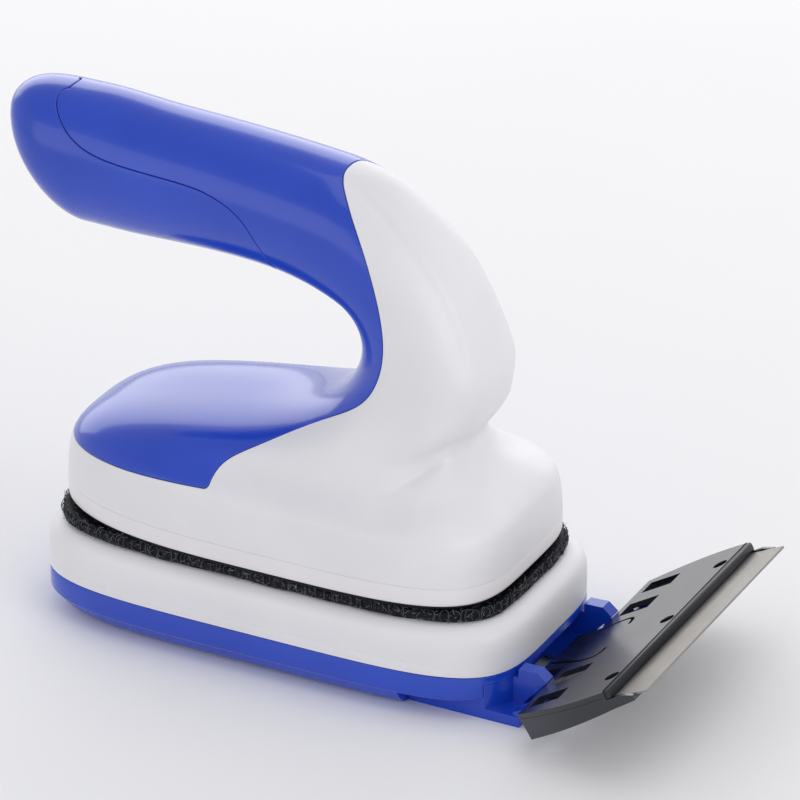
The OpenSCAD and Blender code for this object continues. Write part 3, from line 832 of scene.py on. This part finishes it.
def make_keel(materials):
    """The keel, with a crisp edge above its curved underside; rings are (height, inset)."""
    edge = [(6.6, 0), (6.25, 0.04), (5.95, 0.16), (5.7, 0.36), (5.5, 0.62)]
    underside = smooth_curve([(5, 1.05), (3.4, 2), (1.7, 3.4), (0.5, 5.2), (0, 7)], 4)
    body = edge + [tuple(p) for p in underside]
    rim = [(KEEL_TOP, 2), (KEEL_TOP, 0.5), (KEEL_TOP + LIP, 0.46), (KEEL_TOP + LIP, 0.25),
           (KEEL_TOP + LIP - 0.1, 0.06), (KEEL_TOP, 0)]
    keel = stack("keel_moulding", [inner_ring(z, inset) for z, inset in rim + body], 30)
    overlap = 6 - KEEL_FLOOR
    rear_end = RECESS_X - KEEL_FLOOR
    tools = [
        cavity("rear_cavity", KEEL_FLOOR, -INNER_HALF_X, rear_end),
        cavity("front_cavity", RECESS_Z + KEEL_FLOOR, rear_end - overlap, KEEL_FRONT_X - KEEL_FLOOR),
        block("recess", (RECESS_X, -OUTSIDE_Y, -1), (OUTSIDE_X, OUTSIDE_Y, RECESS_Z)),
        block("nose", (KEEL_FRONT_X, -KEEL_NOSE_HALF, -1), (OUTSIDE_X, KEEL_NOSE_HALF, FLANGE_Z)),
    ]
    carve(keel, *tools)
    shade(keel.data, 30)
    finish_piece(keel, materials["blue_plastic"], "inner_half", "blue_plastic", "keel_shell")


def cavity(name, floor, rear_x, front_x):
    """A piece of the keel's hollow between two positions along its length."""
    hollow = stack(name, [inner_ring(z, WALL) for z in (floor, KEEL_TOP + 5)])
    behind = block("behind", (-OUTSIDE_X, -OUTSIDE_Y, -1), (rear_x, OUTSIDE_Y, INNER_TOP))
    ahead = block("ahead", (front_x, -OUTSIDE_Y, -1), (OUTSIDE_X, OUTSIDE_Y, INNER_TOP))
    carve(hollow, behind, ahead)
    return hollow


def make_inner_shell(materials):
    """The white shell over the keel, with a raised band at its sides; rings are (height, inset)."""
    ceiling = INNER_TOP - 2.4
    inside = [(ceiling, WALL), (SHELL_FOOT + 0.2, WALL), (SHELL_FOOT, WALL - 0.2)]
    foot = [(SHELL_FOOT, 0.5), (SHELL_FOOT - LIP, 0.46), (SHELL_FOOT - LIP, 0.25),
            (SHELL_FOOT - LIP + 0.1, 0.06), (SHELL_FOOT, 0)]
    dome = [(15, 0), (18, 0), (20.5, 0.12), (23.1, 0.8), (24.8, 2.4), (25.65, 4.4), (26, 7.4)]
    over = [(BAND_TOP, 0), *smooth_curve(dome, 5)]
    band = [inner_ring(z, 0) for z in (SHELL_FOOT + 0.05, BAND_TOP - 0.35)]
    for ring in band:
        front_fade = 1 - smooth_step(ring[:, 0], 52, 56)
        ring[:, 1] += BAND_RISE * np.sign(ring[:, 1]) * front_fade
    rings = [inner_ring(z, inset) for z, inset in inside + foot]
    rings += band
    rings += [inner_ring(z, inset) for z, inset in over]
    shell = stack("inner_moulding", rings, 20)
    finish_piece(shell, materials["white_plastic"], "inner_half", "white_plastic", "inner_shell")


def make_bracket(materials):
    """The blue bracket that carries the scraper."""
    bracket = flat_copy("scraper_mount", "scraper_bracket")
    soften(bracket, 0.45)
    finish_piece(bracket, materials["blue_plastic"], "inner_half", "blue_plastic", "scraper_mount")


# =================== pads ===================

def make_felt(materials):
    """The outer half's felt, with a slightly ragged edge; rings are (height, inset)."""
    rng = np.random.default_rng(SEED)
    profile = [(PAD_TOP, 1.6), (PAD_TOP + 0.15, 1.25), (PAD_TOP + 0.65, 1.1),
               (FOOT_Z - 0.15, 1.25), (FOOT_Z, 1.6)]
    rings = [foot_ring(z, inset) for z, inset in profile]
    for ring in rings[1:-1]:
        ring[:, :2] += rng.normal(0, 0.05, (len(ring), 2))
    sheet = stack("felt_sheet", rings)
    finish_piece(sheet, materials["felt"], "outer_half", "felt", "felt_pad")


def wavy(count, rng, waves, size):
    """A smooth random wave round a ring."""
    angle = 2 * math.pi * np.arange(count) / count
    total = np.zeros(count)
    for k in waves:
        total += np.sin(k * angle + rng.uniform(0, 2 * math.pi)) / math.sqrt(len(waves))
    return size * total


def pad_core(rng):
    """The pad's woven backing, with an uneven, slightly bulging edge; rings are (height, inset)."""
    profile = [(INNER_TOP + 0.05, 1.0), (INNER_TOP + 0.1, 0.7), (INNER_TOP + 0.6, 0.35),
               (INNER_TOP + 1.4, 0.3), (INNER_TOP + 2.4, 0.4), (PAD_TOP - 0.4, 0.65),
               (PAD_TOP - 0.2, 1.05), (PAD_TOP - 0.4, 2)]
    rings = []
    for z, inset in profile:
        ring = pad_ring(z, inset)
        _, out = outward(ring)
        push = wavy(len(ring), rng, (7, 12, 23), 0.26) + rng.normal(0, 0.05, len(ring))
        ring += out * push[:, None]
        rings.append(ring)
    return closed_rings(rings)


def outward(ring):
    """Directions along a level ring and out of it."""
    tangent = unit(np.roll(ring, -1, axis=0) - np.roll(ring, 1, axis=0))
    return tangent, np.cross(tangent, UP)


def edge_loops(rng):
    """Yarn loops that lie along the pad's edge like a row of open rings."""
    parts = []
    loop_count = 270
    ring = even_loop(pad_ring(INNER_TOP + 1.95, 0.62), loop_count)
    for base, tangent, out in zip(ring, *outward(ring)):
        turn = rng.uniform(0.6, 1.3) * rng.choice((-1, 1))
        across = (out * math.cos(turn) + tangent * math.sin(turn)) * rng.uniform(0.8, 1.15)
        tall = UP * rng.uniform(1.2, 1.65)
        middle = base + tangent * rng.uniform(-0.3, 0.3)
        angles = np.linspace(rng.uniform(-2.2, -1.2), rng.uniform(1.8, 2.9), 11)
        path = [middle + across * math.cos(a) + tall * math.sin(a) for a in angles]
        parts.append(tube(path, rng.uniform(0.1, 0.15), 4))
    return parts


def top_loops(rng):
    """Low loops all over the pad's top."""
    parts = []
    margin = 1.7
    pitch = 2.1
    for x in np.arange(margin - PAD_HALF_X, PAD_HALF_X - margin, pitch):
        for y in np.arange(margin - PAD_HALF_Y, PAD_HALF_Y - margin, pitch):
            along = abs(x) / (PAD_HALF_X - margin)
            across = abs(y) / (PAD_HALF_Y - margin)
            if along ** PAD_ROUNDNESS + across ** PAD_ROUNDNESS > 1:
                continue
            turn = rng.uniform(0, math.pi)
            reach = np.array((math.cos(turn), math.sin(turn), 0)) * rng.uniform(0.5, 0.9)
            base = np.array((PAD_CENTRE_X + x, y, PAD_TOP - 0.62))
            base[:2] += rng.uniform(-0.6, 0.6, 2)
            angles = np.linspace(-0.2, math.pi + 0.2, 6)
            path = [base - reach * math.cos(a) + UP * 0.45 * math.sin(a) for a in angles]
            parts.append(tube(path, 0.12, 4))
    return parts


def stray_fibres(rng):
    """Loose pale hairs on the pad's edge, and on its top just inside the edge."""
    parts = []
    hair_count = 620
    for inset, low, high in ((0.15, INNER_TOP + 0.2, PAD_TOP), (1.2, PAD_TOP - 0.5, PAD_TOP - 0.2)):
        ring = even_loop(pad_ring(0, inset), hair_count)
        for base, tangent, out in zip(ring, *outward(ring)):
            start = base + UP * rng.uniform(low, high)
            lean = out * rng.uniform(0, 0.45)
            lean += tangent * rng.uniform(-1, 1) + UP * rng.uniform(-1, 1)
            curl = tangent * rng.uniform(-0.8, 0.8) + UP * rng.uniform(-0.6, 0.6)
            length = rng.uniform(0.5, 1.7)
            path = np.array([start + lean * length * t + curl * t * t for t in (0, 0.35, 0.7, 1)])
            path[:, 2] = np.clip(path[:, 2], INNER_TOP + 0.1, FOOT_Z - 0.15)
            parts.append(tube(path, rng.uniform(0.03, 0.055), 3))
    return parts


def make_hook_pad(materials):
    """The scrubbing pad: core, loops and hairs in one piece with three materials."""
    rng = np.random.default_rng(SEED + 1)
    layers = [[pad_core(rng)], edge_loops(rng) + top_loops(rng), stray_fibres(rng)]
    vertices, faces = join_parts(sum(layers, []))
    pad = make_object("hook_loops", vertices, faces, 50)
    finish_piece(pad, materials["hook_fabric"], "inner_half", "hook_fabric", "hook_pad")
    pad.data.materials.append(materials["hook_loop"])
    pad.data.materials.append(materials["hook_hair"])
    face_counts = [sum(len(part_faces) for _, part_faces in layer) for layer in layers]
    pad.data.polygons.foreach_set("material_index", np.repeat((0, 1, 2), face_counts).tolist())


# =================== scraper ===================

SCRAPER_ORIGIN = (78.4, 0, 10.5)
SCRAPER_TILT = 31.2
PIN_U = 27.2
PIN_SPACING = 33
PIN_SINK = 0.8
COVER_RIM_U = 31.05
COVER_RIM_HALF = 43.75
# One side of the curved slot that frees the cover's springy tongue, as (u, y) along its middle.
TONGUE_SLOT = [
    (-9.5, 4.9), (-5.5, 6.4), (-3.3, 7.3), (1, 9.6), (5.5, 11.3), (8.5, 11.5), (10.4, 10.4), (11, 7),
]


def at_scraper():
    """The scraper's own frame: x up the cover's slope, z along its normal, in metres."""
    place = Matrix.Translation(Vector(SCRAPER_ORIGIN) * MM)
    return place @ Matrix.Rotation(math.radians(-SCRAPER_TILT), 4, "Y")


def ribbon(name, path, width, low, high):
    """A solid strip of constant width along an (x, y) path."""
    path = smooth_curve(path, 4)
    along = unit(np.gradient(path, axis=0))
    side = np.column_stack([-along[:, 1], along[:, 0]]) * width / 2
    return prism(name, np.vstack([path + side, (path - side)[::-1]]), low, high)


def make_cover(materials):
    """The smoke-black cover, with the slots beside its tongue and without its front edge."""
    cover = flat_copy("holder_cover", "cover_plate")
    slots = []
    for side in (1, -1):
        slot = ribbon("slot", [(u, y * side) for u, y in TONGUE_SLOT], 1.1, -3, 2)
        slot.data.transform(at_scraper())
        slots.append(slot)
    low = (COVER_RIM_U - 0.75, -OUTSIDE_Y, -4)
    high = (COVER_RIM_U + 4, OUTSIDE_Y, 2)
    old_rim = block("old_rim", low, high)
    old_rim.data.transform(at_scraper())
    carve(cover, *slots, old_rim)
    soften(cover, 0.22, 2)
    finish_piece(cover, materials["smoke_plastic"], "scraper", "smoke_plastic", "holder_cover")


def make_cover_rim(materials):
    """The bar along the cover's front edge, whose tall front face comes down to the blade."""
    angles = np.linspace(0, 2 * math.pi, 32, endpoint=False)
    across = 1.1 * signed_power(np.cos(angles), 0.5)
    up = 1.25 * signed_power(np.sin(angles), 0.5)
    end = [(0, 0.75), (0.15, 0.92), (0.45, 1)]
    sections = [(inset - COVER_RIM_HALF, scale) for inset, scale in end]
    sections += [(COVER_RIM_HALF - inset, scale) for inset, scale in reversed(end)]
    rings = []
    for y, scale in sections:
        u = COVER_RIM_U - 0.25 + across * scale
        rings.append(np.column_stack([u, np.full_like(u, y), up * scale - 1.12]))
    rim = stack("cover_rim", rings, 30)
    rim.data.transform(at_scraper())
    finish_piece(rim, materials["rim_plastic"], "scraper", "smoke_plastic")


def make_holder(materials):
    """The wedge under the cover that holds the blade."""
    holder = flat_copy("blade_holder", "holder_body")
    soften(holder, 0.25, 2)
    finish_piece(holder, materials["smoke_plastic"], "scraper", "smoke_plastic", "blade_holder")


def make_blade(materials):
    """The ground steel blade."""
    blade = flat_copy("blade", "blade_strip")
    soften(blade, 0.12, 2)
    finish_piece(blade, materials["blade_steel"], "scraper", "blade_steel", "blade")


def lathe(profile, segments):
    """Vertices and faces turned round the z axis from (radius, height) points."""
    angles = 2 * math.pi * np.arange(segments) / segments
    rings = [np.column_stack([r * np.cos(angles), r * np.sin(angles), np.full(segments, z)])
             for r, z in profile]
    return closed_rings(rings)


def make_pins(materials):
    """The three pins through cover, blade and holder."""
    profile = [(1.5, -5.2), (1.9, -4.8), (1.9, -0.75), (1.75, -0.45), (1.3, -0.28), (0.5, -0.2)]
    vertices, faces = lathe(profile, 32)
    parts = [(vertices + (PIN_U, i * PIN_SPACING, -PIN_SINK), faces) for i in (-1, 0, 1)]
    pins = make_object("rivet_pins", *join_parts(parts))
    pins.data.transform(at_scraper())
    finish_piece(pins, materials["pin_plastic"], "scraper", "smoke_plastic", "blade_pins")


# =================== screws ===================

def screw_mesh(length):
    """A screw that stands on its pan head at z = 0, with a cross recess and a ringed thread."""
    head = [(0.5, 0), (1.7, 0.02), (2.3, 0.18), (2.62, 0.5), (2.7, 0.85), (2.7, 1.5), (1.25, 1.5)]
    thread = []
    pitch = 0.6
    for k in range(int((length - 2.6) / pitch)):
        thread += [(1.15, 1.7 + k * pitch), (1.4, 2.0 + k * pitch)]
    point = [(1.15, length - 0.7), (0.5, length)]
    screw = make_object("screw", *lathe(head + thread + point, 28))
    for reach_x, reach_y in ((1.6, 0.32), (0.32, 1.6)):
        carve(screw, block("recess", (-reach_x, -reach_y, -1), (reach_x, reach_y, 0.8)))
    vertices = np.array([v.co for v in screw.data.vertices]) / MM
    faces = [tuple(p.vertices) for p in screw.data.polygons]
    bpy.data.objects.remove(screw)
    return vertices, faces


def make_screws(materials):
    """Four sets of screws, each one piece; sets are (name, node, body, length, places)."""
    head_sink = 0.4
    belly_z = FOOT_Z + KEYS[-1][1]
    sets = [
        ("keel_fixings", "keel_screws", "inner_half", 13,
         [(x, y, head_sink) for x in (-34, 34) for y in (-27.5, 27.5)]),
        ("bracket_fixings", "mount_screws", "inner_half", 8,
         [(x, y, head_sink) for x in (47, 57) for y in (-20, 20)]),
        ("base_fixings", "base_screws", "outer_half", 13,
         [(x, s * y, FOOT_Z + head_sink) for x, y in ((50, 19), (-54, 15)) for s in (-1, 1)]),
        ("tail_fixings", "tail_screws", "outer_half", 15,
         [(x, 0, belly_z + 5.4) for x in (-58, -22)]),
    ]
    for name, node, body, length, spots in sets:
        vertices, faces = screw_mesh(length)
        screws = make_object(name, *join_parts([(vertices + spot, faces) for spot in spots]))
        finish_piece(screws, materials["screw_steel"], body, "screw_steel", node)


# =================== carried-over parts ===================

def dress_cad_parts(materials):
    """Gives the CAD nodes that stay their finished materials."""
    kept = {
        "inner_seal": "seal_rubber",
        "inner_magnets": "magnet",
        "outer_magnets": "magnet",
        "inner_yoke_plate": "yoke_steel",
        "outer_yoke_plate": "yoke_steel",
        "inner_magnet_retainer": "inner_plastic",
        "outer_magnet_retainer": "inner_plastic",
    }
    for node, material in kept.items():
        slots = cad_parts[node].data.materials
        slots.clear()
        slots.append(materials[material])


# =================== stage ===================

def make_floor():
    """A plain pale floor."""
    side = 3000
    corners = [(-side, -side, 0), (side, -side, 0), (side, side, 0), (-side, side, 0)]
    floor = make_object("floor", corners, [(0, 1, 2, 3)])
    material, nodes, links, shader = new_material("pale_floor")
    grain = noise(nodes, links, 6, 2)
    greys = [(0.3, (0.9, 0.9, 0.905)), (0.7, (0.92, 0.92, 0.925))]
    links.new(ramp(nodes, links, grain, greys), shader.inputs["Base Color"])
    shader.inputs["Roughness"].default_value = 0.9
    floor.data.materials.append(material)


def aim(obj, place, target):
    """Points an object's -Z axis from a place to a target, both in millimetres."""
    place = Vector(place) * MM
    obj.location = place
    obj.rotation_euler = (Vector(target) * MM - place).to_track_quat("-Z", "Y").to_euler()


def soft_light(name, place, width, height, power):
    """A rectangular light aimed at the middle of the object; power is in watts."""
    light = bpy.data.lights.new(name, "AREA")
    light.shape = "RECTANGLE"
    light.size = width * MM
    light.size_y = height * MM
    light.energy = power
    obj = bpy.data.objects.new(name, light)
    bpy.context.scene.collection.objects.link(obj)
    aim(obj, place, (0, 0, 60))


def make_lights():
    """Four soft lights and the room round them."""
    soft_light("back_softbox", (-620, 1080, 520), width=2600, height=800, power=11)
    soft_light("overhead", (200, 100, 1300), width=900, height=900, power=2.1)
    soft_light("right_fill", (1200, -300, 500), width=800, height=800, power=3.6)
    soft_light("left_fill", (-600, -1300, 380), width=1000, height=900, power=1.7)
    make_world()


def make_world():
    """A pale studio room: bright towards the horizon, darker overhead."""
    world = bpy.data.worlds.new("studio")
    world.use_nodes = True
    nodes = world.node_tree.nodes
    links = world.node_tree.links
    direction = nodes.new("ShaderNodeTexCoord")
    split = nodes.new("ShaderNodeSeparateXYZ")
    links.new(direction.outputs["Generated"], split.inputs["Vector"])
    sky = [(0.0, (1.0, 1.0, 1.01)), (0.35, (0.88, 0.88, 0.9)),
           (0.75, (0.7, 0.7, 0.72)), (1.0, (0.68, 0.68, 0.7))]
    colour = ramp(nodes, links, split.outputs["Z"], sky)
    links.new(colour, nodes["Background"].inputs["Color"])
    nodes["Background"].inputs["Strength"].default_value = 0.81
    bpy.context.scene.world = world


def make_camera():
    """A long lens from the front right, above the object."""
    camera = bpy.data.cameras.new("camera")
    camera.lens = 260.5
    camera.sensor_width = 36
    camera.clip_end = 20
    obj = bpy.data.objects.new("camera", camera)
    bpy.context.scene.collection.objects.link(obj)
    aim(obj, (634.6, -1183.9, 752.6), (23.3, 2.55, 68.2))
    bpy.context.scene.camera = obj
    bpy.context.scene.view_settings.view_transform = "Standard"


make_camera()
make_lights()
make_floor()
finishes = make_materials()
dress_cad_parts(finishes)
make_outer_skin(finishes)
make_base_plate(finishes)
make_keel(finishes)
make_inner_shell(finishes)
make_bracket(finishes)
make_felt(finishes)
make_hook_pad(finishes)
make_cover(finishes)
make_cover_rim(finishes)
make_holder(finishes)
make_blade(finishes)
make_pins(finishes)
make_screws(finishes)
